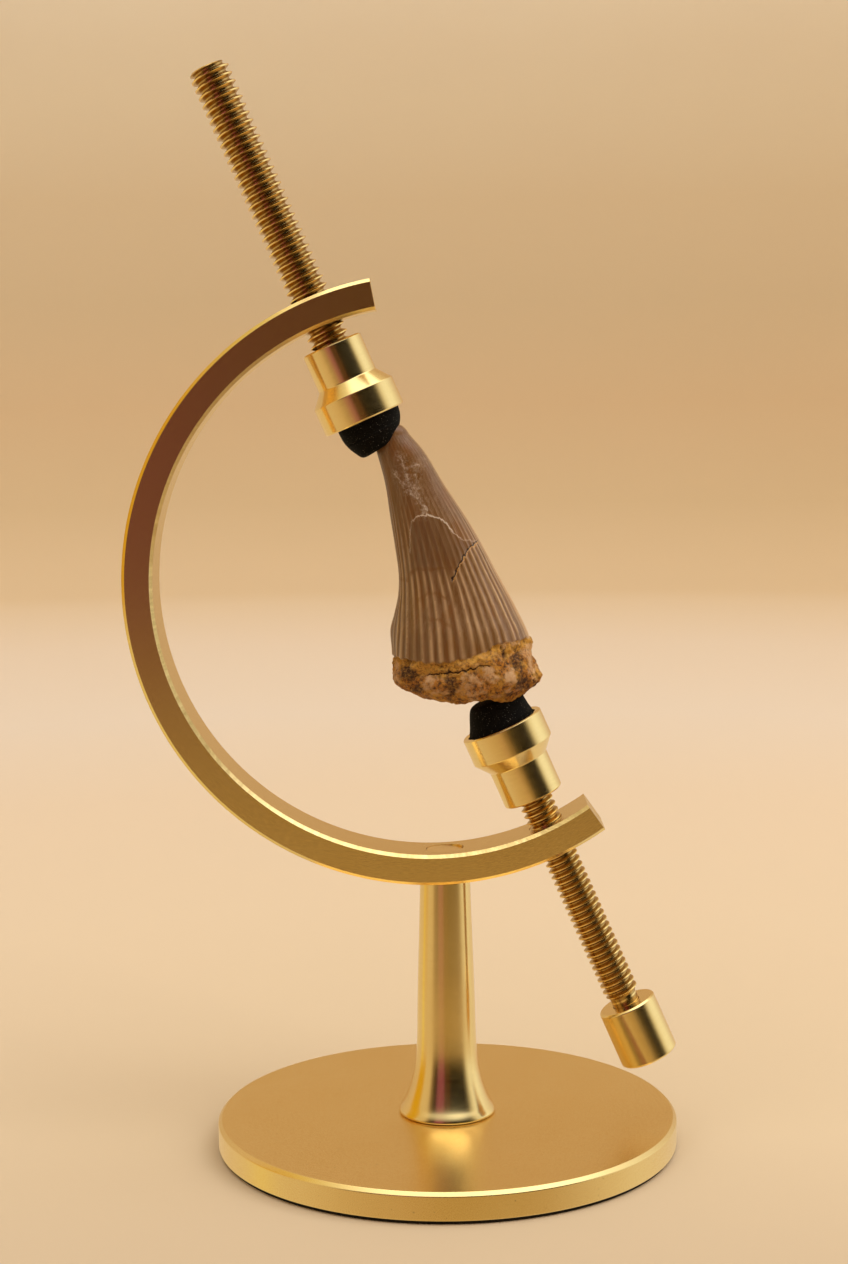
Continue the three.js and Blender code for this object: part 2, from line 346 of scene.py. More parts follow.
def rubberMaterial(name, look):
    material, nodes, links = newMaterial(name)
    shader = nodes["Principled BSDF"]
    grain = patterned(nodes, links, (4, 4, 4), 5.0, 0.6)
    fleck = patterned(nodes, links, (5.5, 5.5, 5.5), 1.0, 0.3)
    tone = blend(nodes, links, span(nodes, links, grain, 0.4, 0.7, 0.0, 1.0), look["dark"], look["pale"])
    dusty = span(nodes, links, fleck, 0.70, 0.75, 0.0, look["specks"])
    tone = blend(nodes, links, dusty, tone, rubber["dust"])
    links.new(tone, shader.inputs["Base Color"])
    links.new(span(nodes, links, grain, 0.3, 0.7, *rubber["roughness"]), shader.inputs["Roughness"])
    shader.inputs["Specular IOR Level"].default_value = rubber["specular"]
    links.new(bump(nodes, links, grain, 0.05, 0.8), shader.inputs["Normal"])
    return material


def makeFoot():
    rim = foot["padThickness"]
    top = rim + foot["baseThickness"]
    pad = turnedPiece("footPad", [
        (0, 0, 0),
        (foot["padRadius"], 0, 0.12),
        (foot["padRadius"], rim, 0.05),
        (0, rim, 0),
    ], columns=192)
    dress(pad, rubberMaterial("padRubber", rubber["pad"]), "stand", ["foot_pad"])
    chamfer = foot["chamfer"]
    disc = turnedPiece("baseDisc", [
        (0, rim, 0),
        (foot["baseRadius"], rim, 0.22),
        (foot["baseRadius"], top - chamfer, 0.1),
        (foot["baseRadius"] - chamfer, top, 0.1),
        (0, top, 0),
    ], columns=256)
    satin = brassMaterial("satinBrass", brass["satinRoughness"], (14, 14, 14), relief=0.0006, speckle=0.5)
    dress(disc, satin, "stand", ["base_disc"])


def makePost():
    floor = foot["padThickness"] + foot["baseThickness"]
    footRadius = post["footRadius"]
    corners = [
        (0, floor, 0),
        (footRadius - 0.3, floor, 0.15),
        (footRadius, floor + 0.35, 0.3),
        (footRadius - 0.25, floor + 0.9, 0.4),
    ]
    corners += [(radius, floor + height, 9.0) for radius, height in post["waist"]]
    corners += [
        (post["topRadius"], post["shoulder"], 0.12),
        (post["tenonRadius"], post["shoulder"], 0.02),
        (post["tenonRadius"], post["tenonTop"], 0.15),
        (0, post["tenonTop"], 0),
    ]
    piece = turnedPiece("turnedPost", corners, columns=160, steps=10)
    material = brassMaterial("postBrass", brass["postRoughness"], (0.6, 0.6, 9), anisotropic=0.45,
                             mapName="turning", relief=0.0010)
    dress(piece, material, "stand", ["post"])


# The open arc: a flat bar bent round, with three bores
arc = {
    "outer": 46.74,
    "inner": 42.0,
    "width": 10.2,
    "chamfer": 0.5,
    "start": math.radians(100.4),
    "end": math.radians(305.0),
    "steps": 240,
    "boreSlack": 0.06,
}


def arcBar():
    half = arc["width"] / 2
    inset = arc["chamfer"]
    section = [
        (arc["outer"] - inset, -half),
        (arc["outer"], -half + inset),
        (arc["outer"], half - inset),
        (arc["outer"] - inset, half),
        (arc["inner"] + inset, half),
        (arc["inner"], half - inset),
        (arc["inner"], -half + inset),
        (arc["inner"] + inset, -half),
    ]
    vertices = []
    for step in range(arc["steps"] + 1):
        angle = arc["start"] + (arc["end"] - arc["start"]) * step / arc["steps"]
        for radius, across in section:
            vertices.append((
                arcX(radius, angle),
                across,
                clamp["arcCentre"][1] + radius * math.sin(angle),
            ))
    count = len(section)
    lastSection = range(arc["steps"] * count, (arc["steps"] + 1) * count)
    faces = [tuple(range(count)), tuple(reversed(lastSection))]
    for step in range(arc["steps"]):
        for corner in range(count):
            following = (corner + 1) % count
            low = step * count
            faces.append((low + corner, low + count + corner, low + count + following, low + following))
    return newPiece("openArc", vertices, faces)


def arcX(radius, angle):
    return clamp["arcCentre"][0] + radius * math.cos(angle)


def boreCutter(name, radius, low, high, place=None):
    return turnedPiece(name, [(0, low, 0), (radius, low, 0), (radius, high, 0), (0, high, 0)],
                       place, columns=96, steps=1, exactNormals=False)


def cutBores(bar):
    slack = arc["boreSlack"]
    reach = arc["outer"] + 10
    cutters = [
        boreCutter("boreUpper", upperRod["crest"] + slack, 0, reach, clampPlace),
        boreCutter("boreLower", lowerRod["crest"] + slack, -reach, 0, clampPlace),
        boreCutter("boreTenon", post["tenonRadius"] + slack, 30, clamp["arcCentre"][1]),
    ]
    for cutter in cutters:
        modifier = bar.modifiers.new("bore", "BOOLEAN")
        modifier.operation = "DIFFERENCE"
        modifier.solver = "EXACT"
        modifier.object = cutter
    bpy.context.view_layer.update()
    evaluated = bar.evaluated_get(bpy.context.evaluated_depsgraph_get())
    cutMesh = bpy.data.meshes.new_from_object(evaluated)
    bar.modifiers.clear()
    bar.data = cutMesh
    for cutter in cutters:
        bpy.data.objects.remove(cutter)


def mapArc(bar):
    # u runs across the bar and v along it; the normals follow the true curve beside each bore
    mesh = bar.data
    centre = Vector((clamp["arcCentre"][0], 0, clamp["arcCentre"][1])) * millimetre
    layer = mesh.uv_layers.new(name="brushing") if not mesh.uv_layers else mesh.uv_layers[0]
    layer.name = "brushing"
    normals = [Vector((0, 0, 1))] * len(mesh.loops)
    for polygon in mesh.polygons:
        spoke = polygon.center - centre
        spoke.y = 0
        spoke.normalize()
        along = Vector((-spoke.z, 0, spoke.x))
        outPart = polygon.normal.dot(spoke)
        sidePart = polygon.normal.y
        curved = abs(polygon.normal.dot(along)) < 0.04
        for loop in polygon.loop_indices:
            place = mesh.vertices[mesh.loops[loop].vertex_index].co - centre
            across = place.y / millimetre
            radius = math.hypot(place.x, place.z) / millimetre
            angle = math.atan2(place.z, place.x) % (2 * math.pi)
            layer.data[loop].uv = (across + radius, angle * arc["outer"])
            if curved:
                direction = Vector((place.x, 0, place.z)).normalized()
                normals[loop] = (direction * outPart + Vector((0, sidePart, 0))).normalized()
            else:
                normals[loop] = polygon.normal.copy()
    mesh.normals_split_custom_set(normals)


def brushedMaterial():
    material, nodes, links = newMaterial("brushedBrass")
    shader = nodes["Principled BSDF"]
    shader.inputs["Metallic"].default_value = 1.0
    shader.inputs["Anisotropic"].default_value = 0.5
    followMap(nodes, links, shader, "brushing")
    layout = nodes.new("ShaderNodeUVMap")
    layout.uv_map = "brushing"
    stretch = nodes.new("ShaderNodeMapping")
    stretch.inputs["Scale"].default_value = (9.0, 0.9, 1.0)
    links.new(layout.outputs["UV"], stretch.inputs["Vector"])
    lines = noiseField(nodes, links, stretch.outputs["Vector"], 4.0, 0.7)
    patches = patterned(nodes, links, (0.12, 0.12, 0.12), 3.0, 0.6)
    warm = span(nodes, links, patches, 0.35, 0.7, 0.0, 0.3)
    tone = blend(nodes, links, warm, brass["colour"], brass["warmColour"])
    marked = span(nodes, links, lines, 0.35, 0.65, 0.0, 0.5)
    tone = blend(nodes, links, marked, tone, brass["markColour"])
    links.new(tone, shader.inputs["Base Color"])
    links.new(span(nodes, links, lines, 0.3, 0.7, *brass["brushedRoughness"]), shader.inputs["Roughness"])
    links.new(bump(nodes, links, lines, 0.007, 1.0), shader.inputs["Normal"])
    return material


def makeArc():
    bar = arcBar()
    cutBores(bar)
    mapArc(bar)
    dress(bar, brushedMaterial(), "stand", ["arc"])


# Threaded rods: one Geometry Nodes tree makes both
upperRod = {
    "crest": 3.175,
    "depth": 0.74,
    "pitch": 1.27,
    "start": 31.9,
    "end": 84.2,
    "chamfer": 0.6,
    "neckRadius": 9.0,
    "neckEnd": 0.0,
}

lowerRod = {
    "crest": 2.745,
    "depth": 0.58,
    "pitch": 1.058,
    "start": -78.1,
    "end": -30.3,
    "chamfer": 0.6,
    "neckRadius": 2.15,
    "neckEnd": -72.0,
}

threadInputs = (
    ("Crest Radius", "crest"),
    ("Thread Depth", "depth"),
    ("Pitch", "pitch"),
    ("Start", "start"),
    ("End", "end"),
    ("End Chamfer", "chamfer"),
    ("Neck Radius", "neckRadius"),
    ("Neck End", "neckEnd"),
)

threadDetail = {
    "columns": 56,
    "rows": 28,
    "rounding": 0.08,
    "rootFlat": 0.20,
    "crestFlat": 0.15,
    "weld": 0.004,
    "hardEdge": math.radians(42),
}


def threadTree():
    tree = bpy.data.node_groups.new("threadedRod", "GeometryNodeTree")
    inputs = [(pair[0], "Float") for pair in threadInputs]
    inputs += [("Columns", "Int"), ("Rows", "Int"), ("Material", "Material")]
    for label, kind in inputs:
        tree.interface.new_socket(name=label, in_out="INPUT", socket_type="NodeSocket" + kind)
    tree.interface.new_socket(name="Geometry", in_out="OUTPUT", socket_type="NodeSocketGeometry")
    given = tree.nodes.new("NodeGroupInput").outputs
    a = sums(tree)
    pitch = given["Pitch"]
    length = a("SUBTRACT", given["End"], given["Start"])
    turns = a("ADD", a("CEIL", a("DIVIDE", length, pitch)), 4.0)

    grid = tree.nodes.new("GeometryNodeMeshGrid")
    grid.inputs["Size X"].default_value = 1.0
    grid.inputs["Size Y"].default_value = 1.0
    tree.links.new(a("ADD", a("MULTIPLY", turns, given["Columns"]), 1.0), grid.inputs["Vertices X"])
    tree.links.new(a("ADD", given["Rows"], 1.0), grid.inputs["Vertices Y"])

    # along counts turns of the helix, phase goes from root to root over one thread
    position = tree.nodes.new("GeometryNodeInputPosition")
    parts = tree.nodes.new("ShaderNodeSeparateXYZ")
    tree.links.new(position.outputs[0], parts.inputs[0])
    along = a("MULTIPLY", a("ADD", parts.outputs["X"], 0.5), turns)
    phase = a("ADD", parts.outputs["Y"], 0.5)
    height = a("ADD", given["Start"], a("MULTIPLY", a("SUBTRACT", a("ADD", along, phase), 2.0), pitch))

    # one thread: straight flanks, rounded at the crest and at the root
    fromCrest = a("ABSOLUTE", parts.outputs["Y"])
    flank = 0.5 - threadDetail["rootFlat"] / 2 - threadDetail["crestFlat"] / 2
    rise = a("DIVIDE", a("SUBTRACT", 0.5 - threadDetail["rootFlat"] / 2, fromCrest), flank)
    rounding = threadDetail["rounding"]
    rise = a("SMOOTH_MIN", 1.0, a("SMOOTH_MAX", 0.0, rise, rounding), rounding)
    sunk = a("MULTIPLY", a("SUBTRACT", 1.0, rise), given["Thread Depth"])
    radius = a("SUBTRACT", given["Crest Radius"], sunk)

    # plain neck below Neck End, then 45 degree chamfers, then flat ends that close on the axis
    neck = a("ADD", given["Neck Radius"], a("MAXIMUM", 0.0, a("SUBTRACT", height, given["Neck End"])))
    radius = a("MINIMUM", radius, neck)
    fromEnds = a("MINIMUM", a("SUBTRACT", height, given["Start"]), a("SUBTRACT", given["End"], height))
    bevelled = a("ADD", given["Crest Radius"], a("MAXIMUM", 0.0, fromEnds))
    radius = a("MINIMUM", radius, a("SUBTRACT", bevelled, given["End Chamfer"]))
    past = a("MAXIMUM", 0.0, a("MULTIPLY", fromEnds, -1.0))
    radius = a("MULTIPLY", radius, a("MAXIMUM", 0.0, a("SUBTRACT", 1.0, a("DIVIDE", past, pitch))))
    height = a("MINIMUM", a("MAXIMUM", height, given["Start"]), given["End"])

    angle = a("MULTIPLY", along, 2 * math.pi)
    spot = tree.nodes.new("ShaderNodeCombineXYZ")
    tree.links.new(a("MULTIPLY", radius, a("COSINE", angle)), spot.inputs["X"])
    tree.links.new(a("MULTIPLY", radius, a("SINE", angle)), spot.inputs["Y"])
    tree.links.new(height, spot.inputs["Z"])
    # painted highlight: 1 on the crests, where the brass colour is made brighter, and on the cut ends,
    # which take the same bright colour
    keep = tree.nodes.new("GeometryNodeStoreNamedAttribute")
    keep.data_type = "FLOAT"
    keep.domain = "POINT"
    keep.inputs["Name"].default_value = "crestHighlight"
    tree.links.new(grid.outputs["Mesh"], keep.inputs["Geometry"])
    cutEnd = a("MINIMUM", 1.0, a("MULTIPLY", past, 50.0))
    tree.links.new(a("MAXIMUM", rise, cutEnd), keep.inputs["Value"])
    move = tree.nodes.new("GeometryNodeSetPosition")
    tree.links.new(keep.outputs["Geometry"], move.inputs["Geometry"])
    tree.links.new(spot.outputs[0], move.inputs["Position"])
    weld = tree.nodes.new("GeometryNodeMergeByDistance")
    weld.inputs["Distance"].default_value = threadDetail["weld"]
    tree.links.new(move.outputs["Geometry"], weld.inputs["Geometry"])
    smooth = tree.nodes.new("GeometryNodeSetShadeSmooth")
    tree.links.new(weld.outputs["Geometry"], smooth.inputs[0])
    real = tree.nodes.new("GeometryNodeRealizeInstances")
    tree.links.new(smooth.outputs[0], real.inputs[0])
    finish = tree.nodes.new("GeometryNodeSetMaterial")
    tree.links.new(real.outputs[0], finish.inputs["Geometry"])
    tree.links.new(given["Material"], finish.inputs["Material"])
    out = tree.nodes.new("NodeGroupOutput")
    tree.links.new(finish.outputs[0], out.inputs["Geometry"])
    return tree


def threadedRod(name, rod, tree, material, body, node):
    holder = bpy.data.objects.new(name, bpy.data.meshes.new(name))
    bpy.context.scene.collection.objects.link(holder)
    modifier = holder.modifiers.new("thread", "NODES")
    modifier.node_group = tree
    sockets = {item.name: item.identifier for item in tree.interface.items_tree if item.in_out == "INPUT"}
    for label, key in threadInputs:
        modifier[sockets[label]] = float(rod[key])
    modifier[sockets["Columns"]] = threadDetail["columns"]
    modifier[sockets["Rows"]] = threadDetail["rows"]
    modifier[sockets["Material"]] = material
    bpy.context.view_layer.update()
    evaluated = holder.evaluated_get(bpy.context.evaluated_depsgraph_get())
    mesh = bpy.data.meshes.new_from_object(evaluated)
    holder.modifiers.clear()
    mesh.transform(Matrix.Scale(millimetre, 4) @ clampPlace)
    mesh.update()
    markSharp(mesh, threadDetail["hardEdge"])
    holder.data = mesh
    dress(holder, None, body, [node])


def markSharp(mesh, limit):
    # a hard edge where two faces meet at more than the limit
    normals = [polygon.normal.copy() for polygon in mesh.polygons]
    sides = {}
    for polygon in mesh.polygons:
        for key in polygon.edge_keys:
            sides.setdefault(key, []).append(polygon.index)
    for edge in mesh.edges:
        pair = sides.get(edge.key, [])
        if len(pair) == 2 and normals[pair[0]].angle(normals[pair[1]], 0) > limit:
            edge.use_edge_sharp = True


def makeRods():
    tree = threadTree()
    material = brassMaterial("threadBrass", brass["threadRoughness"], (1.0, 1.0, 6.0), clamp["lean"],
                             relief=0.004, colours=("threadColour", "threadWarm"), crestName="crestHighlight")
    threadedRod("upperRod", upperRod, tree, material, "upper_screw", "upper_rod")
    threadedRod("lowerRod", lowerRod, tree, material, "lower_screw", "lower_rod")


# Cups and knob, turned
cup = {
    "wideRadius": 6.5,
    "neckRadius": 4.75,
    "wideLength": 4.4,
    "coneLength": 2.1,
    "length": 12.5,
    "recessRadius": 5.6,
    "recessDepth": 2.6,
    "boreFloor": 5.0,
    "upperRim": 26.5,
    "lowerRim": -24.9,
}

knob = {
    "radius": 4.595,
    "top": -73.5,
    "length": 9.4,
    "boreDepth": 5.0,
    "edge": 0.3,
}


def cupCorners(boreRadius):
    recess = cup["recessRadius"]
    wide = cup["wideRadius"]
    coneEnd = cup["wideLength"] + cup["coneLength"]
    return [
        (0, cup["recessDepth"], 0),
        (recess, cup["recessDepth"], 0.2),
        (recess, 0.15, 0.05),
        (recess + 0.15, 0, 0.05),
        (wide - 0.22, 0, 0.06),
        (wide, 0.22, 0.06),
        (wide, cup["wideLength"], 0.1),
        (cup["neckRadius"], coneEnd, 0.12),
        (cup["neckRadius"], cup["length"] - 0.22, 0.06),
        (cup["neckRadius"] - 0.22, cup["length"], 0.06),
        (boreRadius, cup["length"], 0.08),
        (boreRadius, cup["boreFloor"], 0.1),
        (0, cup["boreFloor"], 0),
    ]


def makeCups():
    turned = brassMaterial("turnedBrass", brass["turnedRoughness"], (0.5, 0.5, 9.0), clamp["lean"],
                           anisotropic=0.5, mapName="turning", relief=0.0008)
    upperPlace = clampPlace @ Matrix.Translation((0, 0, cup["upperRim"]))
    lowerPlace = clampPlace @ Matrix.Translation((0, 0, cup["lowerRim"])) @ headDown
    upper = turnedPiece("upperCup", cupCorners(upperRod["crest"] + 0.12), upperPlace, columns=176)
    dress(upper, turned, "upper_head", ["upper_cup"])
    lower = turnedPiece("lowerCup", cupCorners(lowerRod["crest"] + 0.12), lowerPlace, columns=176)
    dress(lower, turned, "lower_head", ["lower_cup"])
    edge = knob["edge"]
    bore = lowerRod["neckRadius"] + 0.05
    bottom = knob["top"] - knob["length"]
    boreTop = knob["top"] - knob["boreDepth"]
    grip = turnedPiece("gripKnob", [
        (0, bottom, 0),
        (knob["radius"] - edge, bottom, 0.1),
        (knob["radius"], bottom + edge, 0.1),
        (knob["radius"], knob["top"] - edge, 0.1),
        (knob["radius"] - edge, knob["top"], 0.1),
        (bore, knob["top"], 0.1),
        (bore, boreTop, 0.1),
        (0, boreTop, 0),
    ], clampPlace, columns=160)
    dress(grip, turned, "lower_screw", ["knob"])


# The tooth. Heights are measured from the underside of its root.
tooth = {
    "place": (3.7, 70.9),
    "height": 42.8,
    "point": -12.2,
    "depthRatio": 0.82,
    "flutes": 44,
    "fluteDepth": 0.17,
    "rings": 250,
    "columns": 360,
    "tipShare": 0.93,
    "underSteps": 14,
    "underHollow": 0.45,
    "enamelStep": 0.16,
    "edges": (
        (0, -7.2, 8.2),
        (0.7, -8.6, 9.1),
        (1.6, -10.4, 10.2),
        (2.7, -11.35, 11.0),
        (3.6, -11.6, 11.45),
        (6.9, -11.35, 10.25),
        (10.6, -11.55, 8.95),
        (13, -10.95, 7.8),
        (16, -10.3, 6.3),
        (19.3, -10.2, 4.5),
        (23.4, -10.7, 2.4),
        (28, -11.4, -0.2),
        (33.4, -12.2, -3.7),
        (37.9, -13.35, -6.35),
        (40.7, -14.0, -8.7),
    ),
    "fluteLeft": ((0, -12.0), (7, -11.8), (13, -11.3), (19, -10.95), (28, -11.55), (33.4, -12.3),
                  (38, -13.4), (42.8, -14.6)),
    "enamelLine": ((-11.4, 6.6), (-8.6, 6.5), (-6.2, 6.3), (-2.9, 6.5), (-0.9, 6.9), (1.8, 7.7),
                   (4.5, 8.9), (6.9, 9.2), (11.0, 9.2)),
    "darkCrack": ((1.8, 24.5), (0.1, 23.2), (-0.9, 21.6), (-1.5, 20.4), (-2.4, 18.3)),
    "paleCrack": ((-8.5, 22.6), (-8.5, 25.2), (-8.3, 27.5), (-7.6, 28.2), (-6.0, 28.6), (-4.4, 28.1),
                  (-3.1, 27.3), (-2.1, 25.8), (-0.8, 24.8), (1.8, 24.3)),
    "rootCrack": ((-6.9, 4.4), (-5.6, 4.7), (-3.4, 4.8), (-1.2, 5.1), (1.2, 5.7), (3.6, 6.0)),
    "stainLines": (
        ((-10.0, 18.7), (-8.9, 18.5), (-8.4, 19.7), (-7.5, 20.4), (-5.2, 20.4), (-3.6, 20.6), (-1.8, 20.4)),
        ((-7.4, 15.4), (-6.7, 16.2), (-5.8, 16.7), (-4.2, 16.7), (-3.4, 16.2)),
        ((-5.6, 12.9), (-4.4, 12.9), (-3.6, 12.4), (-2.2, 11.9)),
        ((-9.7, 23.5), (-8.5, 24.2)),
    ),
    "chalkVeins": (
        ((-9.9, 37.5), (-9.4, 35.9), (-9.0, 34.3), (-8.2, 32.7), (-7.5, 31.3), (-6.6, 30.3), (-6.2, 29.2),
         (-6.6, 28.5)),
        ((-10.8, 35.0), (-9.6, 33.4), (-8.8, 32.2), (-7.8, 31.4)),
        ((-9.4, 35.5), (-7.8, 36.0), (-6.6, 36.2)),
        ((-7.6, 35.4), (-7.7, 33.2), (-7.2, 31.6)),
    ),
    # patches on the broken root: middle across, middle up, half width, half height
    "paleChips": ((-5.4, 3.0, 1.7, 1.4), (1.1, 2.6, 1.9, 2.2), (3.4, 4.3, 1.3, 1.1),
                  (6.3, 3.6, 0.7, 2.0), (9.8, 6.5, 0.9, 2.5), (6.7, 9.2, 1.5, 0.7),
                  (-10.9, 3.0, 0.6, 2.4)),
    "darkPatches": ((-9.2, 4.7, 1.3, 1.4), (-2.7, 3.0, 1.0, 2.0), (7.5, 5.9, 1.1, 1.3),
                    (5.5, 8.2, 0.35, 0.9), (6.3, 1.5, 0.8, 0.9), (8.4, 2.9, 1.3, 1.2),
                    (-7.6, 2.2, 1.3, 0.8)),
}


def curveThrough(points, at):
    # smooth curve through (place, value) pairs in rising order of place
    last = len(points) - 1
    index = 0
    while index < last - 1 and points[index + 1][0] < at:
        index += 1
    start, end = points[index], points[index + 1]
    run = end[0] - start[0]
    share = min(max((at - start[0]) / run, 0.0), 1.0)
    before = points[max(index - 1, 0)]
    after = points[min(index + 2, last)]
    slopeStart = (end[1] - before[1]) / (end[0] - before[0])
    slopeEnd = (after[1] - start[1]) / (after[0] - start[0])
    square, cube = share * share, share ** 3
    return ((2 * cube - 3 * square + 1) * start[1] + (cube - 2 * square + share) * run * slopeStart
            + (3 * square - 2 * cube) * end[1] + (cube - square) * run * slopeEnd)


leftEdge = [(row[0], row[1]) for row in tooth["edges"]]
rightEdge = [(row[0], row[2]) for row in tooth["edges"]]


def toothSection(height):
    # middle and half width of the tooth at a height
    top = leftEdge[-1][0]
    within = min(max(height, 0.0), top)
    left = curveThrough(leftEdge, within)
    right = curveThrough(rightEdge, within)
    middle = (left + right) / 2
    half = (right - left) / 2
    if height > top:
        share = min((height - top) / (tooth["height"] - top), 1.0)
        half *= math.sqrt(1 - share * share)
        middle += (tooth["point"] - middle) * share
    return middle, half


def fluteAngle(height, angle, x):
    # the ridges run straight over the bulges of the front's outline; the back keeps the plain angle
    left = curveThrough(tooth["fluteLeft"], height)
    right = curveThrough(rightEdge, min(height, rightEdge[-1][0])) + 0.2
    across = (2 * x - left - right) / (right - left)
    straight = 2 * math.pi - math.acos(min(max(across, -1.0), 1.0))
    return angle + (straight - angle) * smoothstep(0.05, 0.45, -math.sin(angle))


def nearLine(points, x, z):
    # distance from (x, z) to a run of straight pieces
    best = 1e9
    for (x0, z0), (x1, z1) in zip(points, points[1:]):
        runX, runZ = x1 - x0, z1 - z0
        share = ((x - x0) * runX + (z - z0) * runZ) / (runX * runX + runZ * runZ)
        share = min(max(share, 0.0), 1.0)
        best = min(best, math.hypot(x - x0 - share * runX, z - z0 - share * runZ))
    return best


def sideOfLine(points, x, z):
    # signed distance to the line, and 1 along it falling to 0 over its last 0.6 mm at either end
    best = None
    travelled = 0.0
    length = sum(math.dist(start, end) for start, end in zip(points, points[1:]))
    for index, ((x0, z0), (x1, z1)) in enumerate(zip(points, points[1:])):
        run = math.dist((x0, z0), (x1, z1))
        aheadX, aheadZ = (x1 - x0) / run, (z1 - z0) / run
        along = (x - x0) * aheadX + (z - z0) * aheadZ
        low = -1e9 if index == 0 else 0.0
        high = 1e9 if index == len(points) - 2 else run
        along = min(max(along, low), high)
        offX, offZ = x - x0 - along * aheadX, z - z0 - along * aheadZ
        away = math.hypot(offX, offZ)
        if best is None or away < best[0]:
            side = 1.0 if aheadX * offZ - aheadZ * offX > 0 else -1.0
            best = (away, side * away, travelled + along)
        travelled += run
    reach = smoothstep(0.0, 0.6, best[2]) * smoothstep(0.0, 0.6, length - best[2])
    return min(max(best[1], -farFromLine), farFromLine), reach


def inPatches(patches, x, z, ragged):
    # 1 inside the nearest patch, 0 outside, with a ragged border
    best = 0.0
    for middleX, middleZ, halfX, halfZ in patches:
        reach = math.hypot((x - middleX) / halfX, (z - middleZ) / halfZ) + ragged
        best = max(best, smoothstep(1.35, 0.65, reach))
    return best


def layered(point, scale, octaves=4, offset=0.0):
    # noise from -1 to 1 at a size of about 1 / scale millimetres
    return noise.fractal(Vector(point) * scale + Vector((offset, offset, offset)), 1.0, 2.1, octaves)


def pitting(point, scale, offset=0.0):
    # 0 at the middle of each pit, 1 away from them
    distances = noise.voronoi(Vector(point) * scale + Vector((offset, offset, offset)))[0]
    return min(distances[0] * 1.6, 1.0)


toothFields = ("enamel", "ridge", "darkSide", "darkReach", "paleSide", "paleReach", "rootSide",
               "rootReach", "vein", "pit", "stain", "chip", "shade", "paleLitEdge", "panel", "band")
farFromLine = 3.0


def toothPoint(height, angle, fields):
    middle, half = toothSection(height)
    deep = half * tooth["depthRatio"]
    x = middle + half * math.cos(angle)
    y = deep * math.sin(angle)
    here = (x, y, height)
    edge = curveThrough(tooth["enamelLine"], min(max(x, -11.4), 11.0))
    edge += 0.28 * layered(here, 0.9, 4, 3.1) + (0.5 * math.sin(3 * angle) if y > 0 else 0.0)
    enamel = smoothstep(edge - 0.12, edge + 0.22, height)
    fade = 1 - smoothstep(18, 34, height)
    wander = 0.16 * noise.noise(Vector((math.cos(angle) * 2, math.sin(angle) * 2, height * 0.03)))
    phase = (fluteAngle(height, angle, x) / (2 * math.pi)) * tooth["flutes"] + wander
    uneven = 0.7 + 0.55 * noise.noise(Vector((math.floor(phase) * 3.7, 0.5, height * 0.08)))
    crest = (0.5 + 0.5 * math.cos(2 * math.pi * phase)) ** 1.15
    fine = (0.5 + 0.5 * math.cos(2 * math.pi * phase * 3 + 1.0)) ** 2
    flute = tooth["fluteDepth"] * (crest * uneven - 0.35) * (0.12 + 0.88 * fade)
    flute += 0.02 * (fine - 0.5)
    lumps = 0.22 * math.sin(3 * angle + 0.7 * height + 1.1)
    lumps += 0.2 * math.sin(7 * angle - 1.3 * height + 0.4)
    rough = 0.42 * layered(here, 0.55, 5, 7.7) + 0.17 * layered(here, 1.9, 4, 1.3)
    pits = pitting(here, 0.75, 2.0)
    rough -= 0.38 * (1 - pits) ** 2
    grooves = stain = chip = shade = panel = 0.0
    darkSide = paleSide = rootSide = vein = farFromLine
    darkReach = paleReach = rootReach = 0.0
    if y < 0:
        jitter = 0.25 * noise.noise(Vector((x * 1.6, 0, height * 1.6)))
        jitter += 0.12 * noise.noise(Vector((x * 5, 3, height * 5)))
        darkSide, darkReach = sideOfLine(tooth["darkCrack"], x + jitter * 1.5, height)
        paleSide, paleReach = sideOfLine(tooth["paleCrack"], x, height + jitter)
        rootSide, rootReach = sideOfLine(tooth["rootCrack"], x, height + jitter * 1.5)
        rootReach *= 1 - enamel
        grooves = 0.16 * darkReach * max(1 - abs(darkSide) / 0.25, 0.0)
        grooves += 0.5 * rootReach * max(1 - abs(rootSide) / 0.25, 0.0)
        # the pale crack is boldest at its top and faint on the left
        paleReach *= 0.35 + 0.65 * smoothstep(-8.3, -7.0, x) * smoothstep(-0.5, -4.0, x)
        toStain = min(nearLine(line, x, height + jitter) for line in tooth["stainLines"])
        stain = max(0.0, 1 - toStain / 0.45)
        vein = min(nearLine(line, x + jitter * 2.2, height + jitter) for line in tooth["chalkVeins"])
        panel = smoothstep(0.1, -0.5, paleSide) * smoothstep(0.2, -0.6, darkSide)
        panel *= smoothstep(18.5, 22.0, height)
        ragged = 0.8 * layered((x, 0, height), 0.8, 5, 9.0)
        chip = inPatches(tooth["paleChips"], x, height, ragged)
        shade = inPatches(tooth["darkPatches"], x, height, ragged) * (1 - chip)
        rough = rough * (1 - 0.5 * chip) - 0.18 * shade
    surface = (flute + tooth["enamelStep"]) * enamel + (lumps + rough - 0.1) * (1 - enamel) - grooves
    if height > 41:
        surface *= smoothstep(tooth["height"], tooth["height"] - 1.5, height)
    ridge = crest * uneven * (0.25 + 0.75 * fade) * (1 - 0.4 * panel)
    pit = (1 - pits) * (1 - enamel) * (1 - chip)
    band = smoothstep(2.2, 0.7, edge - height)
    # painted rim light along the right edge, partly the enamel's own paler translucent edge
    paleLitEdge = smoothstep(0.45, 0.0, min(angle, 2 * math.pi - angle))
    values = (enamel, ridge, darkSide, darkReach, paleSide, paleReach, rootSide,
              rootReach, vein, pit, stain, chip, shade, paleLitEdge, panel, band)
    for name, value in zip(toothFields, values):
        fields[name].append(value)
    broken = 0.0
    if height < 1:
        broken = 0.22 * math.sin(5 * angle + 2) + 0.25 * layered(here, 0.7, 3, 4.0)
    return (
        middle + (half + surface) * math.cos(angle),
        (deep + surface) * math.sin(angle),
        height + broken * (1 - height),
    )


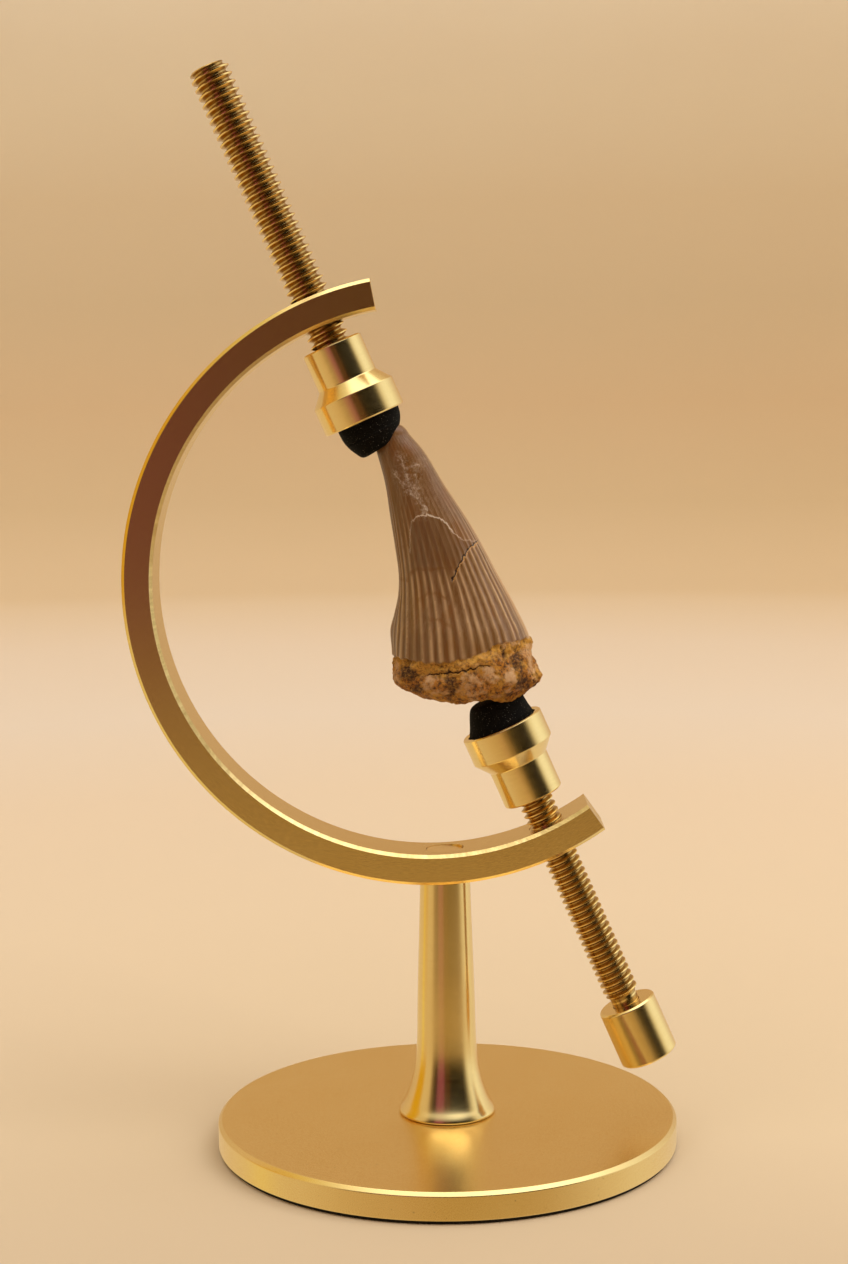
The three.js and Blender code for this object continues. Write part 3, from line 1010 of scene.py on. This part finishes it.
def makeTooth():
    columns = tooth["columns"]
    rings = tooth["rings"]
    fields = {name: [] for name in toothFields}
    vertices = []
    bottom = tooth["underHollow"]

    def addPlain(point, enamel=0.0):
        vertices.append(point)
        plain = {"enamel": enamel, "vein": farFromLine}
        for name in toothFields:
            fields[name].append(plain.get(name, 0.0))

    rim = []
    spare = {name: [] for name in fields}
    for column in range(columns):
        rim.append(toothPoint(0.0, 2 * math.pi * column / columns, spare))
    underSteps = tooth["underSteps"]
    middle = sum(point[0] for point in rim) / columns
    addPlain((middle, 0, bottom))
    for step in range(1, underSteps):
        share = step / underSteps
        for point in rim:
            x = middle + (point[0] - middle) * share
            y = point[1] * share
            hollow = bottom * (1 - share ** 6) + point[2] * share ** 6
            addPlain((x, y, hollow + 0.22 * layered((x, y, 0), 0.8, 4, 5.0) * (1 - share ** 8)))
    for ring in range(rings):
        share = ring / rings
        if share > tooth["tipShare"]:
            # rings draw closer together towards the point
            left = 1 - share
            share = 1 - left ** 2 / (2 * (1 - tooth["tipShare"])) - left / 2
        height = tooth["height"] * share
        for column in range(columns):
            vertices.append(toothPoint(height, 2 * math.pi * column / columns, fields))
    addPlain((tooth["point"], 0, tooth["height"]), 1.0)
    last = len(vertices) - 1
    count = underSteps - 1 + rings
    faces = []
    for column in range(columns):
        following = (column + 1) % columns
        faces.append((0, 1 + following, 1 + column))
        for ring in range(count - 1):
            low = 1 + ring * columns
            high = low + columns
            faces.append((low + column, low + following, high + following, high + column))
        top = 1 + (count - 1) * columns
        faces.append((top + column, top + following, last))
    place = Matrix.Translation((tooth["place"][0], 0, tooth["place"][1]))
    piece = newPiece("fossilTooth", vertices, faces, place)
    for name, values in fields.items():
        layer = piece.data.attributes.new(name, "FLOAT", "POINT")
        layer.data.foreach_set("value", values)
    dress(piece, fossilMaterial(), "lower_head", ["tooth"])


enamelLook = {
    "valley": (0.125, 0.050, 0.008),
    "mauve": (0.175, 0.088, 0.034),
    "ridge": (0.43, 0.275, 0.145),
    "shadow": (0.115, 0.058, 0.026),
    "amber": (0.155, 0.058, 0.008),
    "paleLitEdgeTone": (0.55, 0.34, 0.16),
    "chalk": (0.52, 0.42, 0.33),
    "ochre": (0.36, 0.18, 0.045),
    "crack": (0.012, 0.005, 0.002),
    "rootOchre": (0.44, 0.165, 0.012),
    "rootGold": (0.56, 0.29, 0.045),
    "rootDark": (0.050, 0.016, 0.004),
    "rootPale": (0.58, 0.37, 0.21),
}


def crackLine(nodes, links, a, wobble, side, reach, halfWidth):
    # 1 on the thin line where the signed distance is nought, drawn out only where the line reaches
    away = a("ABSOLUTE", a("ADD", attribute(nodes, side), wobble))
    return a("MULTIPLY", span(nodes, links, away, halfWidth * 0.4, halfWidth * 1.5, 1.0, 0.0),
             attribute(nodes, reach))


def fossilMaterial():
    material, nodes, links = newMaterial("fossilTooth")
    shader = nodes["Principled BSDF"]
    enamel = attribute(nodes, "enamel")
    look = enamelLook
    a = sums(material.node_tree)
    streaks = patterned(nodes, links, (2.0, 2.0, 0.12), 5.0, 0.65)
    veil = patterned(nodes, links, (0.5, 0.5, 0.14), 4.0, 0.6)
    blots = patterned(nodes, links, (0.34, 0.34, 0.12), 6.0, 0.65)
    crumb = patterned(nodes, links, (2.2, 2.2, 2.2), 6.0, 0.75)
    patch = patterned(nodes, links, (0.30, 0.30, 0.34), 6.0, 0.65)
    golden = patterned(nodes, links, (0.5, 0.5, 0.5), 5.0, 0.65)

    # enamel: brown valleys with amber stains, pale ridges, a darker panel below the pale crack
    tone = blend(nodes, links, span(nodes, links, streaks, 0.36, 0.62, 0.0, 1.0), look["valley"],
                 look["mauve"])
    tone = blend(nodes, links, span(nodes, links, blots, 0.50, 0.60, 0.0, 0.85), tone, look["amber"])
    ridge = a("MULTIPLY", span(nodes, links, attribute(nodes, "ridge"), 0.16, 0.85, 0.0, 1.0),
              span(nodes, links, veil, 0.30, 0.60, 0.40, 1.0))
    tone = blend(nodes, links, ridge, tone, look["ridge"])
    stained = a("MULTIPLY", span(nodes, links, attribute(nodes, "stain"), 0.1, 0.8, 0.0, 0.75),
                span(nodes, links, golden, 0.35, 0.6, 0.3, 1.0))
    tone = blend(nodes, links, stained, tone, look["amber"])
    tone = blend(nodes, links, a("MULTIPLY", attribute(nodes, "panel"), 0.4), tone, look["shadow"])
    # painted rim light: the right edge is paled, partly the enamel's own translucent edge
    tone = blend(nodes, links, span(nodes, links, attribute(nodes, "paleLitEdge"), 0.0, 1.0, 0.0, 0.7), tone,
                 look["paleLitEdgeTone"])

    # root: crumbly ochre with dark pores and pale chipped faces
    root = blend(nodes, links, span(nodes, links, crumb, 0.41, 0.56, 0.0, 1.0), look["rootDark"],
                 look["rootOchre"])
    root = blend(nodes, links, span(nodes, links, golden, 0.46, 0.62, 0.0, 0.75), root, look["rootGold"])
    root = blend(nodes, links, span(nodes, links, patch, 0.56, 0.70, 0.0, 0.45), root, look["rootPale"])
    root = blend(nodes, links, span(nodes, links, attribute(nodes, "pit"), 0.35, 0.8, 0.0, 0.7), root,
                 look["rootDark"])
    gilded = a("MULTIPLY", attribute(nodes, "band"), span(nodes, links, crumb, 0.40, 0.60, 0.25, 0.9))
    root = blend(nodes, links, gilded, root, look["rootGold"])
    dull = a("MULTIPLY", attribute(nodes, "shade"), span(nodes, links, crumb, 0.44, 0.64, 1.0, 0.3))
    root = blend(nodes, links, dull, root, look["rootDark"])
    chipped = a("MULTIPLY", attribute(nodes, "chip"), span(nodes, links, golden, 0.42, 0.60, 0.05, 0.85))
    root = blend(nodes, links, chipped, root, look["rootPale"])
    colour = blend(nodes, links, enamel, root, tone)

    # cracks and chalky veins
    wobble = a("MULTIPLY_ADD", patterned(nodes, links, (2.4, 2.4, 2.4), 4.0, 0.7), 0.5, -0.25)
    nearVein = a("ADD", attribute(nodes, "vein"), wobble)
    chalky = a("MULTIPLY", span(nodes, links, nearVein, 0.0, 0.28, 1.0, 0.0),
               span(nodes, links, crumb, 0.42, 0.60, 0.10, 0.80))
    haze = a("MULTIPLY", span(nodes, links, nearVein, 0.1, 1.2, 0.35, 0.0),
             span(nodes, links, crumb, 0.5, 0.62, 0.0, 1.0))
    colour = blend(nodes, links, a("MAXIMUM", chalky, haze), colour, look["chalk"])
    beside = a("ADD", wobble, -0.2)
    for shift, crack, halfWidth, tint in (
        (wobble, "pale", 0.085, "chalk"),
        (beside, "dark", 0.09, "ochre"),
        (wobble, "dark", 0.11, "crack"),
        (wobble, "root", 0.10, "crack"),
    ):
        line = crackLine(nodes, links, a, shift, crack + "Side", crack + "Reach", halfWidth)
        colour = blend(nodes, links, line, colour, look[tint])
    links.new(colour, shader.inputs["Base Color"])
    shader.inputs["Subsurface Weight"].default_value = 0.10
    shader.inputs["Subsurface Scale"].default_value = 0.0006
    shader.inputs["Subsurface Radius"].default_value = (1.0, 0.5, 0.25)
    gloss = span(nodes, links, enamel, 0.0, 1.0, 0.80, 0.30)
    links.new(gloss, shader.inputs["Roughness"])
    grain = bump(nodes, links, streaks, 0.03, 0.6)
    relief = a("MULTIPLY", crumb, span(nodes, links, enamel, 0.0, 1.0, 1.0, 0.10))
    links.new(bump(nodes, links, relief, 0.32, 1.0, grain), shader.inputs["Normal"])
    return material


# Rubber plugs: turned, then squeezed as the tooth presses them
plugs = {
    "radius": 5.3,
    "depth": 2.3,
    "upper": {"reach": 4.95, "shift": 0.5, "lean": -0.2, "press": 0.14},
    "lower": {"reach": 4.3, "shift": 0.0, "lean": 0.6, "press": 0.0},
    "gap": 0.04,
    "dentStep": 0.08,
    "dentSteps": 60,
}


def insideTooth(point):
    # true where a point, in the tooth's own millimetres, lies inside the tooth
    x, y, z = point
    if z < 0 or z > tooth["height"]:
        return False
    middle, half = toothSection(z)
    half += plugs["gap"]
    deep = half * tooth["depthRatio"]
    return (x - middle) ** 2 / (half * half) + y * y / (deep * deep) < 1


def squeezed(piece, place, shape):
    # leans and tips what stands out of the cup, then dents it round the tooth
    back = place.inverted()
    inward = (place.to_3x3() @ Vector((0, 0, 1))).normalized()
    origin = Vector((tooth["place"][0], 0, tooth["place"][1]))
    for vertex in piece.data.vertices:
        local = back @ (vertex.co / millimetre)
        out = max(0.0, -local.z) / shape["reach"]
        side = local.x
        local.x += shape["shift"] + shape["lean"] * out
        local.z += shape["press"] * out * side
        spot = place @ local
        for step in range(plugs["dentSteps"]):
            if not insideTooth(spot - origin):
                break
            spot = spot + inward * plugs["dentStep"]
        vertex.co = spot * millimetre
    piece.data.update()


def makePlugs():
    black = rubberMaterial("blackRubber", rubber["plug"])
    radius = plugs["radius"]
    tip = -plugs["upper"]["reach"]
    upperPlace = clampPlace @ Matrix.Translation((0, 0, cup["upperRim"]))
    upper = turnedPiece("upperTip", [
        (0, tip, 0),
        (1.4, tip, 0.5),
        (2.6, tip + 0.05, 0.5),
        (3.2, tip + 0.35, 0.3),
        (3.6, tip + 0.95, 0.5),
        (4.3, tip + 2.0, 0.8),
        (4.85, -1.7, 0.8),
        (5.0, -0.5, 0.5),
        (5.0, plugs["depth"], 0.2),
        (0, plugs["depth"], 0),
    ], upperPlace, columns=144, steps=8, exactNormals=False)
    squeezed(upper, upperPlace, plugs["upper"])
    dress(upper, black, "upper_head", ["upper_tip"])
    tip = -plugs["lower"]["reach"]
    lowerPlace = clampPlace @ Matrix.Translation((0, 0, cup["lowerRim"])) @ headDown
    lower = turnedPiece("lowerTip", [
        (0, tip, 0),
        (1.2, tip, 0.5),
        (2.4, tip, 0.5),
        (3.75, tip + 0.15, 0.3),
        (4.15, tip + 0.5, 0.25),
        (4.5, tip + 1.4, 0.5),
        (5.0, -1.0, 0.5),
        (radius, -0.3, 0.3),
        (radius, plugs["depth"], 0.2),
        (0, plugs["depth"], 0),
    ], lowerPlace, columns=144, steps=8, exactNormals=False)
    squeezed(lower, lowerPlace, plugs["lower"])
    dress(lower, black, "lower_head", ["lower_tip"])


# Studio: one seamless bowl for floor and backdrop, the surroundings that the brass mirrors, and the lights
studio = {
    "floorRadius": 0.9,
    "curve": 0.35,
    "wallTop": 1.3,
    "columns": 128,
    "curveSteps": 32,
    "key": {"size": 0.9, "power": 6.4, "place": (0.65, -0.3, 0.75), "colour": (1.0, 0.95, 0.86)},
    "fill": {"size": 0.7, "power": 1.2, "place": (-0.6, -0.5, 0.6), "colour": (1.0, 0.93, 0.82)},
    "aim": (0, 0, 0.08),
    "nearShadeTone": (0.42, 0.32, 0.22),
    "mottleTone": (0.7, 0.5, 0.33),
}

# paper colour with painted light and shade, by distance out over the floor and then up the wall, in metres:
# darker under the object and in the curve, brighter up the wall
paperShading = (
    (0.00, (0.545, 0.425, 0.285)),
    (0.16, (0.60, 0.47, 0.33)),
    (0.30, (0.62, 0.485, 0.35)),
    (0.45, (0.635, 0.52, 0.41)),
    (0.66, (0.655, 0.52, 0.39)),
    (0.84, (0.665, 0.505, 0.335)),
    (0.91, (0.645, 0.475, 0.29)),
    (0.94, (0.61, 0.445, 0.26)),
    (1.00, (0.62, 0.44, 0.255)),
    (1.07, (0.63, 0.48, 0.295)),
    (1.14, (0.70, 0.555, 0.36)),
    (1.21, (0.80, 0.685, 0.495)),
    (1.28, (0.89, 0.80, 0.63)),
)


def makeBowl():
    floor = studio["floorRadius"]
    curve = studio["curve"]
    outline = [Vector((0.12 * floor * step, 0)) for step in range(9)]
    for step in range(studio["curveSteps"] + 1):
        angle = math.pi / 2 * step / studio["curveSteps"]
        outline.append(Vector((floor + curve * math.sin(angle), curve - curve * math.cos(angle))))
    outline.append(Vector((floor + curve, studio["wallTop"])))
    columns = studio["columns"]
    vertices = [(0, 0, 0)]
    for point in outline[1:]:
        for column in range(columns):
            angle = 2 * math.pi * column / columns
            vertices.append((point.x * math.cos(angle), point.x * math.sin(angle), point.y))
    faces = []
    for column in range(columns):
        following = (column + 1) % columns
        faces.append((0, 1 + column, 1 + following))
        for ring in range(len(outline) - 2):
            low = 1 + ring * columns
            high = low + columns
            faces.append((low + column, high + column, high + following, low + following))
    vertices = [Vector(vertex) / millimetre for vertex in vertices]
    bowl = newPiece("studioBowl", vertices, faces)
    material, nodes, links = newMaterial("backdropPaper")
    shader = nodes["Principled BSDF"]
    shader.inputs["Roughness"].default_value = 0.9
    shader.inputs["Specular IOR Level"].default_value = 0.1
    place = nodes.new("ShaderNodeTexCoord")
    parts = nodes.new("ShaderNodeSeparateXYZ")
    links.new(place.outputs["Object"], parts.inputs[0])
    a = sums(material.node_tree)
    # painted light and shade: the paper's colour changes with distance out over the floor and up the wall
    squares = a("ADD", a("POWER", parts.outputs["X"], 2.0), a("POWER", parts.outputs["Y"], 2.0))
    reach = a("ADD", a("MINIMUM", a("SQRT", squares), floor), parts.outputs["Z"])
    longest = paperShading[-1][0]
    tone = toneRamp(nodes, links, a("DIVIDE", reach, longest),
                    [(distance / longest, colour) for distance, colour in paperShading])
    # painted shade: the floor nearer the camera than the object is darkened
    nearShade = span(nodes, links, parts.outputs["Y"], -0.09, 0.0, 0.8, 0.0)
    tone = blend(nodes, links, nearShade, tone, studio["nearShadeTone"])
    mottle = patterned(nodes, links, (0.01, 0.01, 0.01), 3.0, 0.5)
    mottled = span(nodes, links, mottle, 0.3, 0.7, 0.0, 0.05)
    tone = blend(nodes, links, mottled, tone, studio["mottleTone"])
    links.new(tone, shader.inputs["Base Color"])
    bowl.data.materials.append(material)
    bowl.visible_glossy = False


# What stands round the object, by azimuth in degrees: 0 is behind the camera, 90 to its right
surroundings = (
    (-180, (0.64, 0.42, 0.21)),
    (-138, (0.72, 0.55, 0.34)),
    (-116, (0.80, 0.62, 0.42)),
    (-109, (0.78, 0.46, 0.02)),
    (-86, (0.78, 0.46, 0.02)),
    (-80, (0.80, 0.66, 0.42)),
    (-58, (0.78, 0.62, 0.38)),
    (-50, (0.22, 0.14, 0.07)),
    (-40, (0.035, 0.022, 0.014)),
    (-35, (0.05, 0.022, 0.018)),
    (-30, (0.30, 0.08, 0.15)),
    (-12, (0.30, 0.08, 0.15)),
    (-8, (0.10, 0.035, 0.020)),
    (1, (0.05, 0.022, 0.010)),
    (5, (0.15, 0.055, 0.020)),
    (8, (0.03, 0.014, 0.006)),
    (15, (0.010, 0.009, 0.004)),
    (54, (0.014, 0.011, 0.006)),
    (62, (0.10, 0.085, 0.06)),
    (70, (0.55, 0.50, 0.40)),
    (78, (0.95, 0.92, 0.82)),
    (92, (1.12, 1.16, 1.15)),
    (108, (1.12, 1.16, 1.10)),
    (136, (0.86, 0.76, 0.62)),
    (160, (0.68, 0.47, 0.26)),
    (180, (0.64, 0.42, 0.21)),
)

overhead = (
    (-180, (0.70, 0.55, 0.36)),
    (-115, (0.75, 0.62, 0.35)),
    (-100, (0.85, 0.68, 0.15)),
    (-85, (0.90, 0.80, 0.50)),
    (-60, (1.15, 1.10, 0.90)),
    (-15, (1.00, 1.05, 1.00)),
    (10, (1.50, 1.55, 1.60)),
    (35, (2.00, 2.05, 2.10)),
    (65, (2.30, 2.35, 2.50)),
    (110, (1.80, 1.80, 1.80)),
    (150, (0.85, 0.70, 0.46)),
    (180, (0.70, 0.55, 0.36)),
)

underfoot = (
    (-180, (0.80, 0.60, 0.37)),
    (-115, (0.85, 0.70, 0.45)),
    (-105, (1.00, 0.85, 0.30)),
    (-95, (0.82, 0.68, 0.46)),
    (-45, (0.72, 0.53, 0.29)),
    (0, (0.62, 0.43, 0.18)),
    (45, (0.66, 0.47, 0.24)),
    (110, (0.91, 0.81, 0.64)),
    (180, (0.80, 0.60, 0.37)),
)

surroundLevels = {
    "floorTop": -0.11,
    "floorBottom": -0.24,
    "ceilingStart": 0.55,
    "ceilingEnd": 0.80,
    "zenithStart": 0.84,
    "zenithEnd": 0.93,
    "zenith": (2.2, 2.2, 2.1),
}


def makeSurroundings():
    world = bpy.data.worlds.new("studioSurroundings")
    bpy.context.scene.world = world
    world.use_nodes = True
    tree = world.node_tree
    nodes, links = tree.nodes, tree.links
    a = sums(tree)
    direction = nodes.new("ShaderNodeTexCoord")
    parts = nodes.new("ShaderNodeSeparateXYZ")
    links.new(direction.outputs["Generated"], parts.inputs[0])
    azimuth = a("ARCTAN2", parts.outputs["X"], a("MULTIPLY", parts.outputs["Y"], -1.0))
    around = a("MULTIPLY_ADD", azimuth, 1 / (2 * math.pi), 0.5)
    rings = [
        toneRamp(nodes, links, around, [((angle + 180) / 360, tone) for angle, tone in stops])
        for stops in (surroundings, overhead, underfoot)
    ]
    level = surroundLevels
    isFloor = span(nodes, links, parts.outputs["Z"], level["floorBottom"], level["floorTop"], 1.0, 0.0)
    isCeiling = span(nodes, links, parts.outputs["Z"], level["ceilingStart"], level["ceilingEnd"], 0.0, 1.0)
    colour = blend(nodes, links, isFloor, rings[0], rings[2])
    colour = blend(nodes, links, isCeiling, colour, rings[1])
    isZenith = span(nodes, links, parts.outputs["Z"], level["zenithStart"], level["zenithEnd"], 0.0, 1.0)
    colour = blend(nodes, links, isZenith, colour, level["zenith"])
    links.new(colour, nodes["Background"].inputs["Color"])
    world.cycles.sampling_method = "NONE"


def softLight(name, look):
    data = bpy.data.lights.new(name, "AREA")
    data.size = look["size"]
    data.energy = look["power"]
    data.color = look["colour"]
    light = bpy.data.objects.new(name, data)
    bpy.context.scene.collection.objects.link(light)
    light.location = look["place"]
    view = Vector(studio["aim"]) - Vector(look["place"])
    light.rotation_euler = view.to_track_quat("-Z", "Y").to_euler()
    light.visible_glossy = False


def makeLights():
    softLight("keyLight", studio["key"])
    softLight("fillLight", studio["fill"])
    scene = bpy.context.scene
    scene.view_settings.view_transform = "Standard"
    scene.view_settings.look = "None"


# Camera at the photograph's place
cameraLook = {
    "place": (-0.002897, -0.3422, 0.1209),
    "down": math.radians(6.638),
    "roll": math.radians(-0.593),
    "lens": 63.53,
}


def makeCamera():
    down = cameraLook["down"]
    roll = cameraLook["roll"]
    back = Vector((0, -math.cos(down), math.sin(down)))
    right = Vector((1, 0, 0))
    up = back.cross(right)
    side = right * math.cos(roll) + up * math.sin(roll)
    top = up * math.cos(roll) - right * math.sin(roll)
    data = bpy.data.cameras.new("photoCamera")
    data.sensor_fit = "AUTO"
    data.sensor_width = 36.0
    data.lens = cameraLook["lens"]
    data.clip_start = 0.01
    camera = bpy.data.objects.new("photoCamera", data)
    bpy.context.scene.collection.objects.link(camera)
    turn = Matrix((side, top, back)).transposed()
    camera.matrix_world = Matrix.Translation(cameraLook["place"]) @ turn.to_4x4()
    bpy.context.scene.camera = camera


makeFoot()
makePost()
print("foot and post done")
makeArc()
print("arc done")
makeRods()
makeCups()
print("clamps done")
makePlugs()
makeTooth()
print("rubbers and tooth done")
makeBowl()
makeSurroundings()
makeLights()
makeCamera()
print("studio done")
